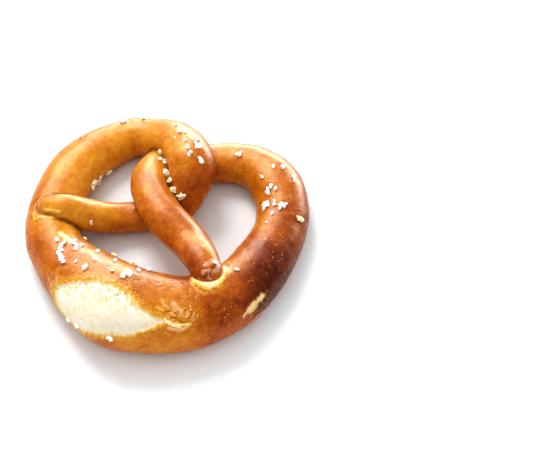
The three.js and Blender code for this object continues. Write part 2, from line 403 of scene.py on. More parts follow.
# Where the faces are made smaller: from and to along the rope, and from and to round it
fineAreas = {"burst": (262, 340, -10, 104), "folds": (316, 338, 32, 80), "tip": (582, 604, -90, 270)}


def useFineFaces(piece, low, high, lowAngle, highAngle):
    places = placesOnRope(meshPoints(piece))
    inside = ((places.along > low) & (places.along < high)
              & (places.around > lowAngle) & (places.around < highAngle))
    select(piece)
    bpy.ops.object.mode_set(mode="EDIT")
    bpy.ops.mesh.select_all(action="DESELECT")
    bpy.ops.object.mode_set(mode="OBJECT")
    piece.data.vertices.foreach_set("select", inside)
    bpy.ops.object.mode_set(mode="EDIT")
    bpy.ops.mesh.select_mode(type="VERT")
    bpy.ops.mesh.subdivide()
    bpy.ops.object.mode_set(mode="OBJECT")


for area in fineAreas.values():
    useFineFaces(pretzel, *area)
useModifier(pretzel, "SMOOTH", factor=dough["smoothFactor"], iterations=dough["smoothingRefined"])
print("faces refined:", len(pretzel.data.polygons))


# Signed distance in mm to the burst's outline, negative inside it
def offBurst(places):
    flat = np.stack([places.along, places.around * burst["girth"]], axis=1)
    corners = np.array([(along, angle * burst["girth"]) for along, angle in burst["outline"]])
    rounded = []
    for i in range(len(corners)):
        p = [corners[(i + k) % len(corners)] for k in (-1, 0, 1, 2)]
        for w in np.linspace(0, 1, burst["cornerSteps"] + 1)[:-1]:
            bend = (2 * p[0] - 5 * p[1] + 4 * p[2] - p[3]) * w ** 2
            twist = (3 * p[1] - p[0] - 3 * p[2] + p[3]) * w ** 3
            rounded.append(0.5 * (2 * p[1] + (p[2] - p[0]) * w + bend + twist))
    best = np.full(len(flat), farOff)
    inside = np.zeros(len(flat), bool)
    for start, end in zip(rounded, rounded[1:] + rounded[:1]):
        share = np.clip((flat - start) @ (end - start) / ((end - start) @ (end - start)), 0, 1)
        best = np.minimum(best, np.linalg.norm(flat - start - share[:, None] * (end - start), axis=1))
        crosses = (start[1] > flat[:, 1]) != (end[1] > flat[:, 1])
        rise = end[1] - start[1] if end[1] != start[1] else tiny
        inside ^= crosses & (flat[:, 0] < start[0] + (flat[:, 1] - start[1]) / rise * (end[0] - start[0]))
    return np.where(inside, -best, best)


# Where a place lies in the burst: 0 to 1 along it, and -1 at its lower edge to 1 at its upper one
def withinBurst(places):
    share = np.clip((places.along - burst["start"]) / (burst["end"] - burst["start"]), 0, 1)
    rise = smoothStep(0, burst["riseShare"], share)
    middle = burst["startAngle"] + burst["angleRise"] * rise
    half = burst["halfAngle"] * np.sin(math.pi * share ** burst["bluntness"])
    return share, np.clip((places.around - middle) / np.maximum(half, burst["leastHalfAngle"]), -1, 1)


def crumbForm(places, across):
    pulled = places.along / strand["width"] + places.around * strand["slant"]
    pulled = np.stack([pulled, places.around / strand["length"], np.zeros(len(pulled))], axis=1)
    strands = lumps(pulled, 1, strand["seed"]) * smoothStep(*strand["from"], across)
    pores = smoothStep(*pore["edge"], lumps(places.points, pore["size"], pore["seed"]))
    pores = pores * smoothStep(*pore["from"], across)
    return layered(places.points, crumbUneven) + strand["height"] * strands - pore["depth"] * pores


def lipForm(places, edge):
    height, off, width = lip["even"]
    layers, unevenOff, unevenWidth = lip["uneven"]
    uneven = layered(places.points, layers) * hump(edge - unevenOff, unevenWidth)
    return height * hump(edge - off, width) + uneven


# The form of the burst, and how far off its torn line each point lies
def burstForm(places):
    share, across = withinBurst(places)
    off = offBurst(places)
    edge = off + layered(places.points, burst["torn"]) * smoothStep(*burst["tornReach"], np.abs(off))
    deep = burst["lowerDepth"] + (burst["upperDepth"] - burst["lowerDepth"]) * (across + 1) / 2
    swell = burst["crown"] * (1 - across ** 2) * np.sin(math.pi * share)
    inside = smoothStep(*burst["slope"], edge)
    rim = (1 - inside) * lipForm(places, edge) * smoothStep(*burst["lipFrom"], edge)
    return inside * (swell - deep + crumbForm(places, across)) + rim, edge


# Folds (raised) and grooves (sunk) pushed up where the burst runs out and across the belly's top; in the
# crust's colour the raised ones carry a painted highlight and the sunk ones painted shade:
# places on the rope, height and half width
folds = [
    ([(320.5, 63), (322, 57.5), (324, 53.5)], 0.22, 0.32),
    ([(323.5, 63), (326, 58), (328, 60), (330, 57)], 0.22, 0.36),
    ([(331.7, 73), (331.8, 67), (331, 62), (329.2, 57)], 0.26, 0.32),
    ([(333, 61), (332, 55), (330.4, 51)], 0.24, 0.3),
    ([(334.6, 59), (333.6, 54), (331.6, 50)], 0.18, 0.3),
    ([(321.6, 43), (325.5, 39), (328, 39.5), (330.5, 45)], 0.3, 0.8),
    ([(320.5, 36), (323.6, 33)], 0.15, 0.4),
    ([(323, 54), (325, 51), (326.3, 51)], 0.2, 0.32),
    ([(324, 77), (325.6, 70), (327.6, 66)], 0.28, 1.6),
    ([(318.4, 82), (319.4, 75), (322, 71)], 0.2, 0.9),
    ([(320, 66), (323, 66), (325, 63), (326.3, 57)], -0.26, 0.34),
    ([(322.4, 57), (324.4, 57), (327, 51), (329, 48), (331, 51)], -0.3, 0.36),
    ([(329.4, 67), (328.6, 63)], -0.35, 0.45),
    ([(332.3, 64), (331.6, 59), (330.3, 54)], -0.24, 0.3),
    ([(334, 62), (333, 56)], -0.22, 0.3),
    ([(329.8, 117), (331.6, 108), (333, 99)], -0.22, 0.36),
    ([(334, 122), (335.8, 111)], -0.18, 0.36),
    ([(217.5, 84), (218.6, 70), (220.8, 58), (224.5, 51), (228.5, 51)], 0.3, 0.5),
    ([(6, 52), (9.5, 47), (12.5, 42)], 0.22, 0.9),
]
# Wrinkles finer than these: places on the rope and reach of each area in mm
crinkled = [
    (306, 106, 5), (316, 110, 5), (327, 108, 5), (336, 92, 5), (330, 84, 4), (325, 62, 5), (331, 62, 4),
    (326, 45, 4),
]
crinkle = {"size": 1.5, "height": 0.17, "seed": 14, "sharpness": 3.2}
wavering = {"reach": 0.35, "size": 2.2, "seeds": (11, 12, 13)}

# Fibres of skin drawn thin at the burst's blunt end, as lines that fan out from it
fibres = {
    "count": 8,
    "start": [(256.5, 36), (266, 60)],
    "end": [(270, 20), (271.5, 50)],
    "spread": 1.6,          # how far each may lie off its even place, in places
    "unevenness": 0.75,     # how much shorter some are, as a share of the length
    "seeds": {"start": 0, "end": 40, "length": 20},
    "height": 0.12,
    "halfWidth": 0.5,
}


def fibreEnd(name, number):
    aside = fibres["spread"] * (scatter(number + fibres["seeds"][name]) - 0.5)
    share = (number + aside) / (fibres["count"] - 1)
    return np.array(fibres[name][0]) * (1 - share) + np.array(fibres[name][1]) * share


def fibreLines():
    lines = []
    for number in range(fibres["count"]):
        start, end = fibreEnd("start", number), fibreEnd("end", number)
        start += (end - start) * fibres["unevenness"] * scatter(number + fibres["seeds"]["length"])
        lines.append([tuple(start), tuple(end)])
    return lines


def foldForm(places):
    points = places.points
    shifts = [lumps(points, wavering["size"], seed) for seed in wavering["seeds"]]
    wavered = points + wavering["reach"] * np.stack(shifts, axis=1)
    height = np.zeros(len(points))
    for line, rise, halfWidth in folds:
        height += rise * hump(offLine(wavered, line), halfWidth)
    for line in fibreLines():
        height += fibres["height"] * hump(offLine(wavered, line), fibres["halfWidth"])
    creased = 1 - crinkle["sharpness"] * np.abs(lumps(wavered, crinkle["size"], crinkle["seed"]))
    share = np.max([near(points, *area) for area in crinkled], axis=0)
    return height + crinkle["height"] * share * creased


# Creases where strands touch, and the dough's own unevenness
skin = {
    "footSoftness": 1.5, "creaseDepth": 0.8, "creaseWidth": 1.2,
    # how uneven the skin is along the rope: the thin arms are smoother than the bow
    "unevenAlong": [0, 110, 130, 480, 505, 600],
    "unevenShare": [0.45, 0.45, 1, 1, 0.35, 0.35],
    "uneven": [(0.5, 17, 31), (0.24, 7.5, 32), (0.12, 3.4, 33)],
    "reliefFrom": (0.3, 2.5),   # mm above the table, from none to all
}


# 1 on the bead round the tip, where the skin is smooth
def beadMask(places):
    off = offLine(places.points, bead["places"])
    return smoothStep(*(bead["width"] / 2 + fade for fade in bead["fade"]), off)


def creaseForm(places):
    return -skin["creaseDepth"] * hump(places.crease, skin["creaseWidth"]) * (1 - beadMask(places))


def unevenForm(places):
    share = np.interp(places.along, skin["unevenAlong"], skin["unevenShare"])
    return share * layered(places.points, skin["uneven"])


# Blisters: places on the rope, radius and height
blisters = [
    (345, 45, 1.8, 0.55), (350, 30, 1.4, 0.4), (338, 33, 1.2, 0.3), (331, 24, 1.5, 0.35),
    (362, 44, 1.1, 0.3), (374, 60, 1.3, 0.35), (98, 70, 1.2, 0.3), (92, 60, 1, 0.3),
    (395, 50, 1.2, 0.3), (385, 95, 1.5, 0.3), (460, 100, 1.3, 0.3), (205, 60, 1.7, 0.3),
]
# The scab: two torn lobes, each a line on the rope and a half width
scab = {
    "lobes": [
        ([(352.3, 22.5), (354.5, 25)], 0.9), ([(355.4, 26.5), (357.4, 27.5)], 2.1),
        ([(357.4, 27.5), (360.6, 29)], 1.1), ([(361.2, 29.5), (362.8, 31)], 1.7),
    ],
    "sink": 0.3, "fade": 0.6, "torn": [(0.9, 2.6, 41), (0.5, 1.2, 42)],
}


def blisterForm(places):
    return sum(rise * near(places.points, *area) for *area, rise in blisters)


def scabMask(places):
    off = np.min([offLine(places.points, line) - halfWidth for line, halfWidth in scab["lobes"]], axis=0)
    return smoothStep(scab["fade"], -scab["fade"], off + layered(places.points, scab["torn"]))


# The blunt tip of the right arm, its skin drawn into wrinkles
tip = {
    "petals": [
        ([(597.4, 58), (597.6, 78), (598.2, 94)], 0.35, 0.9),
        ([(598.7, 104), (598, 128), (595.5, 155)], 0.3, 0.9),
        ([(594.4, 84), (594.3, 100), (593.3, 116)], 0.15, 0.9),
        ([(599.8, 60), (600.2, 70)], 0.25, 0.6),
    ],
    "crevice": ([(600.2, 64), (599, 88), (597.8, 104), (596.6, 116)], -0.6, 0.5),
    "patch": 1.2,           # how far the dull skin reaches round them
    "patchFade": 0.6, "patchUneven": [(1.1, 2.2, 51), (0.9, 0.9, 53)], "patchRelief": [(0.14, 1.2, 52)],
    "from": (575, 580),     # the part of the rope that is the tip, from none to all
}


# The form of the tip's skin, and how much of a point's skin is the dull patch or its crevice; the crevice
# is darkened in the crust with painted shade
def tipForm(places):
    onTip = smoothStep(*tip["from"], places.along)
    height, patch = np.zeros(len(places.points)), np.zeros(len(places.points))
    uneven = layered(places.points, tip["patchUneven"])
    fadeFrom, fadeTo = tip["patch"] + tip["patchFade"], tip["patch"] - tip["patchFade"]
    for line, rise, halfWidth in tip["petals"]:
        off = offLine(places.points, line)
        height += rise * hump(off, halfWidth)
        patch = np.maximum(patch, smoothStep(fadeFrom, fadeTo, off + uneven))
    line, rise, halfWidth = tip["crevice"]
    split = hump(offLine(places.points, line), halfWidth)
    height += rise * split + layered(places.points, tip["patchRelief"]) * patch
    return height * onTip, patch * onTip, split * onTip


# The notch round the end of the left arm's tip, darkened in the crust with painted shade like the right
# tip's crevice
notch = {"places": [(3.4, 100), (1.6, 88), (1, 74), (2.4, 58)], "width": 0.8, "depth": 0.45}


def shapeDough(piece):
    points = meshPoints(piece)
    places = placesOnRope(points)
    soft = skin["footSoftness"]
    low = np.maximum(soft - np.abs(points[:, 2]), 0) / soft
    points[:, 2] = np.maximum(points[:, 2], 0) + low * low * soft / 4
    setMeshPoints(piece, points)
    normals = meshNormals(piece)
    burstHeight, edge = burstForm(places)
    clear = smoothStep(*burst["skinFrom"], edge)
    height = burstHeight + clear * (creaseForm(places) + unevenForm(places) + blisterForm(places))
    folded = foldForm(places)
    height += smoothStep(*burst["foldsFrom"], edge) * folded
    scabbed = scabMask(places)
    height -= scab["sink"] * scabbed
    notched = hump(offLine(points, notch["places"]), notch["width"])
    height -= notch["depth"] * notched
    tipHeight, patch, split = tipForm(places)
    # The crevice and the notch are darkened in the crust with painted shade
    split = np.maximum(split, notched)
    height += tipHeight
    raised = smoothStep(*skin["reliefFrom"], points[:, 2])
    moved = points + normals * (height * raised)[:, None]
    moved[:, 2] = np.maximum(moved[:, 2], 0)
    setMeshPoints(piece, moved)
    return SimpleNamespace(
        places=places, burstEdge=edge, folded=folded, scabbed=scabbed, patch=patch, split=split)


shaped = shapeDough(pretzel)
places = shaped.places
print("dough shaped, faces:", len(pretzel.data.polygons))

# How brown the crust is: places on the rope, reach in mm, and tone from 0, straw, to 1, mahogany
browning = [
    (3, 45, 8, 0.42), (12, 99, 8, 0.33), (16, 39, 8, 0.3), (30, 96, 9, 0.32), (39, 45, 9, 0.32),
    (41, 6, 9, 0.5), (60, 90, 12, 0.39), (60, 10, 10, 0.56), (89, 78, 8, 0.56), (98, 96, 8, 0.4),
    (98, 54, 8, 0.64), (95, 20, 10, 0.57), (108, 138, 9, 0.3), (120, 57, 12, 0.36),
    (145, 135, 14, 0.36), (153, 81, 14, 0.34), (164, 156, 12, 0.34), (174, 108, 14, 0.3),
    (174, 50, 14, 0.44), (189, 48, 14, 0.4), (193, 108, 14, 0.3), (211, 81, 12, 0.35),
    (212, 39, 12, 0.46), (195, 170, 12, 0.34), (150, 20, 12, 0.5), (200, 10, 12, 0.5),
    (237, 48, 9, 0.46), (239, 96, 7, 0.28), (243, 57, 7, 0.5), (247, 36, 9, 0.48), (250, 10, 12, 0.52),
    (262, 80, 9, 0.5), (275, 72, 8, 0.44), (281, 126, 10, 0.44), (262, 130, 9, 0.43),
    (300, 115, 12, 0.48), (313, 108, 11, 0.5), (312, 88, 6, 0.42), (323, 90, 6, 0.38),
    (330, 59, 7, 0.34), (316, 14, 10, 0.42), (323, 27, 8, 0.38), (330, 3, 12, 0.46),
    (290, -15, 14, 0.46), (337, 18, 9, 0.54), (344, 54, 9, 0.66), (349, 9, 11, 0.56),
    (347, 75, 8, 0.48), (368.5, 48, 10, 0.92), (372, 58, 8, 0.84), (363, 102, 8, 0.48),
    (358, 76, 7, 0.56), (358, 40, 8, 0.78), (368, 119, 10, 0.4), (372, 20, 12, 0.74),
    (381, 78, 12, 0.72), (385, 45, 12, 0.8), (395, 120, 12, 0.4), (399, 74, 12, 0.6),
    (413, 32, 12, 0.7), (421, 81, 12, 0.5), (425, 130, 12, 0.38), (444, 162, 12, 0.44),
    (457, 59, 14, 0.38), (459, 119, 12, 0.44), (440, 50, 12, 0.46), (490, 90, 14, 0.46),
    (516, 81, 9, 0.34), (529, 59, 9, 0.42), (529, 20, 9, 0.55), (540, 100, 10, 0.52),
    (552, 74, 10, 0.48), (552, 30, 9, 0.5), (575, 83, 9, 0.48), (581, 108, 9, 0.44),
    (587, 32, 8, 0.6), (575, 30, 9, 0.52), (565, 130, 9, 0.46),
]
# The tone where no place is near, and the dark tone of the painted shade on the underside, from its
# height in mm on down
evenBrowning = {"tone": 0.48, "weight": 0.03, "under": 0.62, "underFrom": (7, 1), "underShare": 0.6}

# Pale strokes where the skin was stretched or pressed, golden when weak and cream when strong:
# places on the rope, half width and strength
paleStrokes = [
    ([(246, 103), (250.5, 110), (255.5, 113.5)], 2, 0.9),
    ([(228, 51), (231.4, 54), (231.3, 70), (233.3, 95)], 1.1, 0.5),
    ([(11.7, 20), (14.7, 28)], 2, 0.35),
    ([(287.2, 124), (290.5, 127), (297, 125)], 1, 0.5),
    ([(320, 54), (323.6, 48.5), (326.4, 45.5)], 1.5, 0.85),
    ([(326, 46), (330.2, 46)], 0.8, 0.7),
    ([(316.7, 72), (319.2, 68)], 1.5, 0.45),
    ([(357.6, 120), (359.5, 128)], 1.9, 0.55),
    ([(361.2, -8), (358, -7), (354.7, -16)], 1, 0.55),
    ([(583.2, 101), (586.8, 114), (589.4, 126)], 1.5, 0.35),
    ([(335.5, 111), (337.3, 95), (341, 87), (346.2, 86), (351.7, 92), (357, 105)], 2.2, 0.34),
    ([(361.5, 136), (365, 131)], 2.4, 0.42),
    ([(6.5, 50), (9.5, 46), (12.5, 41)], 1.3, 0.52),
]
strokeEdge = {"uneven": [(0.35, 4, 61), (0.5, 1.4, 63)], "leastHalfWidth": 0.5}

# Mottled pale areas: place on the rope, reach and strength
mottled = [
    (323.5, 66, 4, 0.55), (319, 72, 2.5, 0.5), (330, 62, 2.5, 0.45), (313, 38, 2.5, 0.3),
    (328.5, 84, 4, 0.4), (325.5, 96, 3, 0.32), (271, 36, 3, 0.45),
]
mottledCells = {"size": 1.3, "seed": 62, "edge": (-0.25, 0.4)}


def toneWithUnderShade():
    total = np.full(len(places.points), evenBrowning["weight"])
    tone = total * evenBrowning["tone"]
    for *area, level in browning:
        share = near(places.points, *area)
        total += share
        tone += share * level
    tone = tone / total
    # Painted shade: near the table the tone is drawn towards a dark brown, the shade under the rope
    under = smoothStep(*evenBrowning["underFrom"], places.points[:, 2])
    return tone + (evenBrowning["under"] - tone) * under * evenBrowning["underShare"]


def paleOfCrust():
    pale = np.zeros(len(places.points))
    cells = lumps(places.points, mottledCells["size"], mottledCells["seed"])
    cells = smoothStep(*mottledCells["edge"], cells)
    for *area, strength in mottled:
        pale = np.maximum(pale, strength * near(places.points, *area) * cells)
    uneven = 1 + layered(places.points, strokeEdge["uneven"])
    for line, halfWidth, strength in paleStrokes:
        wavered = np.maximum(halfWidth * uneven, strokeEdge["leastHalfWidth"])
        pale = np.maximum(pale, strength * hump(offLine(places.points, line), wavered))
    offArm = smoothStep(*bead["offArm"], places.off)
    crests = np.min([offLine(places.points, crest) for crest in bead["crests"]], axis=0)
    middle = hump(crests + layered(places.points, bead["creamUneven"]), bead["creamWidth"])
    pale = np.maximum(pale, bead["edgePale"] * beadMask(places) * offArm)
    return np.maximum(pale, middle * np.where(places.along < bead["armFrom"], 1, offArm))


# Painted shade in the creases where strands touch, all but those round the left arm's tip and where the
# skin is pale
paintedCreaseShade = {
    "reach": (2.6, 0.2), "leftTip": (0.5, 85), "clearOfTip": (6, 11), "clearOfPale": (0.1, 0.4),
}


def creaseShade(pale):
    offTip = np.linalg.norm(places.points - ropePoint(*paintedCreaseShade["leftTip"]), axis=1)
    share = smoothStep(*paintedCreaseShade["reach"], places.crease)
    share = share * (1 - smoothStep(*paintedCreaseShade["clearOfPale"], pale))
    return share * smoothStep(*paintedCreaseShade["clearOfTip"], offTip)


def keepMaps():
    pale = paleOfCrust()
    maps = {
        # The browning map also holds the painted shade on the underside
        "browning": toneWithUnderShade(), "pale": pale, "creaseShade": creaseShade(pale),
        "burstEdge": shaped.burstEdge, "acrossBurst": withinBurst(places)[1], "fold": shaped.folded,
        "scab": shaped.scabbed, "tipPatch": shaped.patch, "tipCreviceShade": shaped.split,
        "along": places.along, "around": places.around,
    }
    for name, values in maps.items():
        layer = pretzel.data.attributes.new(name, "FLOAT", "POINT")
        layer.data.foreach_set("value", np.asarray(values, np.float32))


keepMaps()
print("crust mapped")


# Small tools for the materials
def newMaterial(name):
    made = bpy.data.materials.new(name)
    made.use_nodes = True
    return made, made.node_tree, made.node_tree.nodes["Principled BSDF"]


def feed(tree, node, inputs):
    for name, value in inputs.items():
        if isinstance(value, bpy.types.NodeSocket):
            tree.links.new(value, node.inputs[name])
        else:
            node.inputs[name].default_value = value


def addNode(tree, kind, inputs, **settings):
    made = tree.nodes.new(kind)
    for name, value in settings.items():
        setattr(made, name, value)
    feed(tree, made, inputs)
    return made


def arithmetic(tree, kind, one, two):
    return addNode(tree, "ShaderNodeMath", {0: one, 1: two}, operation=kind).outputs[0]


def times(tree, total, *others):
    for other in others:
        total = arithmetic(tree, "MULTIPLY", total, other)
    return total


# 0 below low and 1 above high, or the other way round
def mask(tree, value, low, high):
    inputs = {
        "Value": value, "From Min": min(low, high), "From Max": max(low, high),
        "To Min": float(low > high), "To Max": float(low < high),
    }
    return addNode(tree, "ShaderNodeMapRange", inputs, interpolation_type="SMOOTHSTEP").outputs["Result"]


# The mix node has its colours at inputs 6 and 7 and output 2
def mixColour(tree, share, one, two):
    return addNode(tree, "ShaderNodeMix", {0: share, 6: one, 7: two}, data_type="RGBA").outputs[2]


def ramp(tree, value, stops):
    made = addNode(tree, "ShaderNodeValToRGB", {"Fac": value})
    elements = made.color_ramp.elements
    for number, (place, colour) in enumerate(stops):
        stop = elements[number] if number < 2 else elements.new(place)
        stop.position = place
        stop.color = (*colour, 1)
    return made.outputs["Color"]


def attribute(tree, name):
    return addNode(tree, "ShaderNodeAttribute", {}, attribute_name=name).outputs["Fac"]


def objectPlace(tree):
    return addNode(tree, "ShaderNodeTexCoord", {}).outputs["Object"]


# Noise whose lumps are size mm wide, on the given coordinates
def noiseOf(tree, vector, size, detail, roughness=0.5):
    inputs = {"Vector": vector, "Scale": 1 / (size * mm), "Detail": detail, "Roughness": roughness}
    return addNode(tree, "ShaderNodeTexNoise", inputs).outputs["Fac"]


# Relief too fine for the mesh, of so many mm
def addBump(tree, shader, height, strength, distance):
    inputs = {"Strength": strength, "Distance": distance * mm, "Height": height}
    feed(tree, shader, {"Normal": addNode(tree, "ShaderNodeBump", inputs).outputs["Normal"]})


# Fine surface grain, shared by the crust and the salt: a height and a mask of lighter specks
baked = {"detail": 3, "pitsToALump": 1.7, "pitEdge": (0, 0.35), "pitDepth": 0.35, "specks": (0.58, 0.74)}


def makeGrainGroup():
    group = bpy.data.node_groups.new("bakedGrain", "ShaderNodeTree")
    for name, way, kind in (("Vector", "INPUT", "Vector"), ("Size", "INPUT", "Float"),
                            ("Height", "OUTPUT", "Float"), ("Specks", "OUTPUT", "Float")):
        group.interface.new_socket(name, in_out=way, socket_type="NodeSocket" + kind)
    start, end = group.nodes.new("NodeGroupInput").outputs, group.nodes.new("NodeGroupOutput")
    scale = arithmetic(group, "DIVIDE", 1 / mm, start["Size"])
    inputs = {"Vector": start["Vector"], "Scale": scale, "Detail": baked["detail"]}
    bumps = addNode(group, "ShaderNodeTexNoise", inputs).outputs["Fac"]
    inputs = {"Vector": start["Vector"], "Scale": times(group, scale, baked["pitsToALump"])}
    pits = addNode(group, "ShaderNodeTexVoronoi", inputs, feature="SMOOTH_F1").outputs["Distance"]
    hollow = times(group, mask(group, pits, *baked["pitEdge"]), baked["pitDepth"])
    height = arithmetic(group, "ADD", bumps, hollow)
    feed(group, end, {"Height": height, "Specks": mask(group, bumps, *baked["specks"])})
    return group


bakedGrain = makeGrainGroup()


def grainOf(tree, vector, size):
    inputs = {"Vector": vector, "Size": size}
    return addNode(tree, "ShaderNodeGroup", inputs, node_tree=bakedGrain).outputs


# The lye crust and the crumb that shows in its burst
crustLook = {
    "tones": [
        (0, (0.86, 0.58, 0.21)), (0.2, (0.76, 0.4, 0.04)), (0.38, (0.62, 0.235, 0.013)),
        (0.52, (0.46, 0.119, 0.005)), (0.66, (0.27, 0.05, 0.003)), (0.8, (0.12, 0.015, 0.002)),
        (1, (0.04, 0.005, 0.001)),
    ],
    # size, detail, roughness, strength
    "mottling": [(11, 3, 0.5, 0.3), (3, 4, 0.6, 0.3), (0.7, 3, 0.7, 0.44)],
    "bands": 0.08,
    "bandWidth": 0.08,      # mm for each degree round the rope
    "paleStages": [(0.25, (0.66, 0.27, 0.02)), (0.5, (0.86, 0.54, 0.11)), (0.8, (0.95, 0.86, 0.54))],
    "crumb": [(0.3, (0.8, 0.66, 0.38)), (0.46, (0.86, 0.775, 0.6)), (0.65, (0.88, 0.82, 0.71))],
    # colour, how much it hides of what is below it, and where its map isn't a share, the values at which
    # it begins and is full
    "freckle": ((0.8, 0.4, 0.055), 0.85, 0.38, 0.14),
    # a painted highlight on the folds' ridges and painted shade in their grooves
    "ridgeHighlight": ((0.88, 0.6, 0.32), 0.65, 0, 0.3),
    "grooveShade": ((0.3, 0.06, 0.003), 0.6, 0, -0.35),
    # painted shade in the creases where strands touch
    "crease": ((0.055, 0.01, 0.002), 0.75),
    "glow": ((0.76, 0.4, 0.04), 0.7, 2.6, 0.2),
    "fleck": ((0.88, 0.58, 0.14), 0.6, 5.5, 1),
    "crumbRim": ((0.86, 0.53, 0.1), 0.85, -1.7, 0.1),
    "crumbYellow": ((0.66, 0.45, 0.13), 0.75, 0.49, 0.4),
    "scab": ((0.82, 0.6, 0.28), 1),
    "dullTip": ((0.72, 0.4, 0.26), 0.7),
    # painted shade in the right tip's crevice and the left tip's notch
    "tipCreviceShade": ((0.3, 0.06, 0.003), 0.8),
    # size in mm, detail and roughness of each noise
    "noises": {
        "bands": (2.6, 3), "freckleGroups": (9, 2), "burstEdge": (1.8, 4, 0.6), "flecks": (0.9, 3),
        "pale": (2.2, 4), "crumb": (2.4, 5, 0.6), "gloss": (3, 4), "pitted": (2.6, 5, 0.6),
        "torn": (0.9, 5, 0.7),
    },
    # other values at which a map begins and is full
    "masks": {
        "freckled": (0.5, 0.6), "freckleGroups": (0.46, 0.58), "dark": (0.42, 0.62),
        "flecks": (0.53, 0.62), "pale": (0.12, 0.5), "crumb": (0.5, -0.5), "upper": (0.1, 0.8),
    },
    "freckleSize": 1.5, "grainSize": 1.1,
    "edgeUneven": 2.4,      # mm
    "paleUneven": 0.35,
    "roughness": (0.28, 0.44), "dryness": 0.45,
    "gleam": (1, 0.87, 0.72),     # tint of the reflections, as an oily crust warms them
    "pitDepth": 1.6, "crumbDepth": 4.5, "bump": (0.5, 0.18),
}


def makeCrust():
    look = crustLook
    made, tree, shader = newMaterial("lyeCrust")
    place = objectPlace(tree)

    def over(base, name, share, *others):
        colour, most, *ends = look[name]
        share = mask(tree, share, *ends) if ends else share
        return mixColour(tree, times(tree, share, *others, most), base, (*colour, 1))

    def plus(one, two):
        return arithmetic(tree, "ADD", one, two)

    def varied(value, strength):
        return times(tree, arithmetic(tree, "SUBTRACT", value, 0.5), strength)

    def kept(name):
        return attribute(tree, name)

    def noiseNamed(name, vector=place):
        return noiseOf(tree, vector, *look["noises"][name])

    def masked(name, value):
        return mask(tree, value, *look["masks"][name])

    # Tone of the crust: the mapped browning, with mottling and faint bands round the rope
    tone = kept("browning")
    for *kind, strength in look["mottling"]:
        tone = plus(tone, varied(noiseOf(tree, place, *kind), strength))
    along, across = times(tree, kept("along"), mm), times(tree, kept("around"), mm * look["bandWidth"])
    onRope = addNode(tree, "ShaderNodeCombineXYZ", {"X": along, "Y": across}).outputs[0]
    tone = plus(tone, varied(noiseNamed("bands", onRope), look["bands"]))
    colour = ramp(tree, tone, look["tones"])

    # Golden freckles on the dark crust
    inputs = {"Vector": place, "Scale": 1 / (look["freckleSize"] * mm)}
    dots = addNode(tree, "ShaderNodeTexVoronoi", inputs).outputs
    chance = addNode(tree, "ShaderNodeSeparateColor", {0: dots["Color"]}).outputs[0]
    some = masked("freckled", chance)
    grouped = masked("freckleGroups", noiseNamed("freckleGroups"))
    dark = masked("dark", kept("browning"))
    colour = over(colour, "freckle", dots["Distance"], some, dark, grouped)

    # Painted shade in the creases, a painted highlight on the folds' ridges and painted shade in their
    # grooves, and the glow along the burst
    colour = over(colour, "crease", kept("creaseShade"))
    colour = over(colour, "ridgeHighlight", kept("fold"))
    colour = over(colour, "grooveShade", kept("fold"))
    soft = varied(noiseNamed("burstEdge"), look["edgeUneven"])
    edge = plus(kept("burstEdge"), soft)
    colour = over(colour, "glow", edge)
    colour = over(colour, "fleck", kept("burstEdge"), masked("flecks", noiseNamed("flecks")))

    # Golden and cream where the skin was stretched
    pale = plus(kept("pale"), varied(noiseNamed("pale"), look["paleUneven"]))
    colour = mixColour(tree, masked("pale", pale), colour, ramp(tree, pale, look["paleStages"]))

    # The scab, the dull tip, painted shade in the tip's crevice and notch, and the crumb
    colour = over(colour, "scab", kept("scab"))
    colour = over(colour, "dullTip", kept("tipPatch"))
    colour = over(colour, "tipCreviceShade", kept("tipCreviceShade"))
    crumb = masked("crumb", edge)
    crumbNoise = noiseNamed("crumb")
    crumbColour = ramp(tree, crumbNoise, look["crumb"])
    upper = masked("upper", kept("acrossBurst"))
    crumbColour = over(crumbColour, "crumbYellow", crumbNoise, upper)
    crumbColour = over(crumbColour, "crumbRim", plus(edge, soft))
    colour = mixColour(tree, crumb, colour, crumbColour)

    low, high = look["roughness"]
    rough = plus(low, times(tree, noiseNamed("gloss"), high - low))
    dry = arithmetic(tree, "MAXIMUM", crumb, kept("scab"))
    rough = plus(rough, times(tree, dry, look["dryness"]))
    feed(tree, shader, {"Base Color": colour, "Roughness": rough, "Specular Tint": (*look["gleam"], 1)})
    height = grainOf(tree, place, look["grainSize"])["Height"]
    height = plus(height, times(tree, noiseNamed("pitted"), look["pitDepth"]))
    height = plus(height, times(tree, crumb, noiseNamed("torn"), look["crumbDepth"]))
    addBump(tree, shader, height, *look["bump"])
    return made


pretzel.data.materials.clear()
pretzel.data.materials.append(makeCrust())
select(pretzel)
bpy.ops.object.shade_smooth()
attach(pretzel, "root")
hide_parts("pretzel")
print("crust finished")

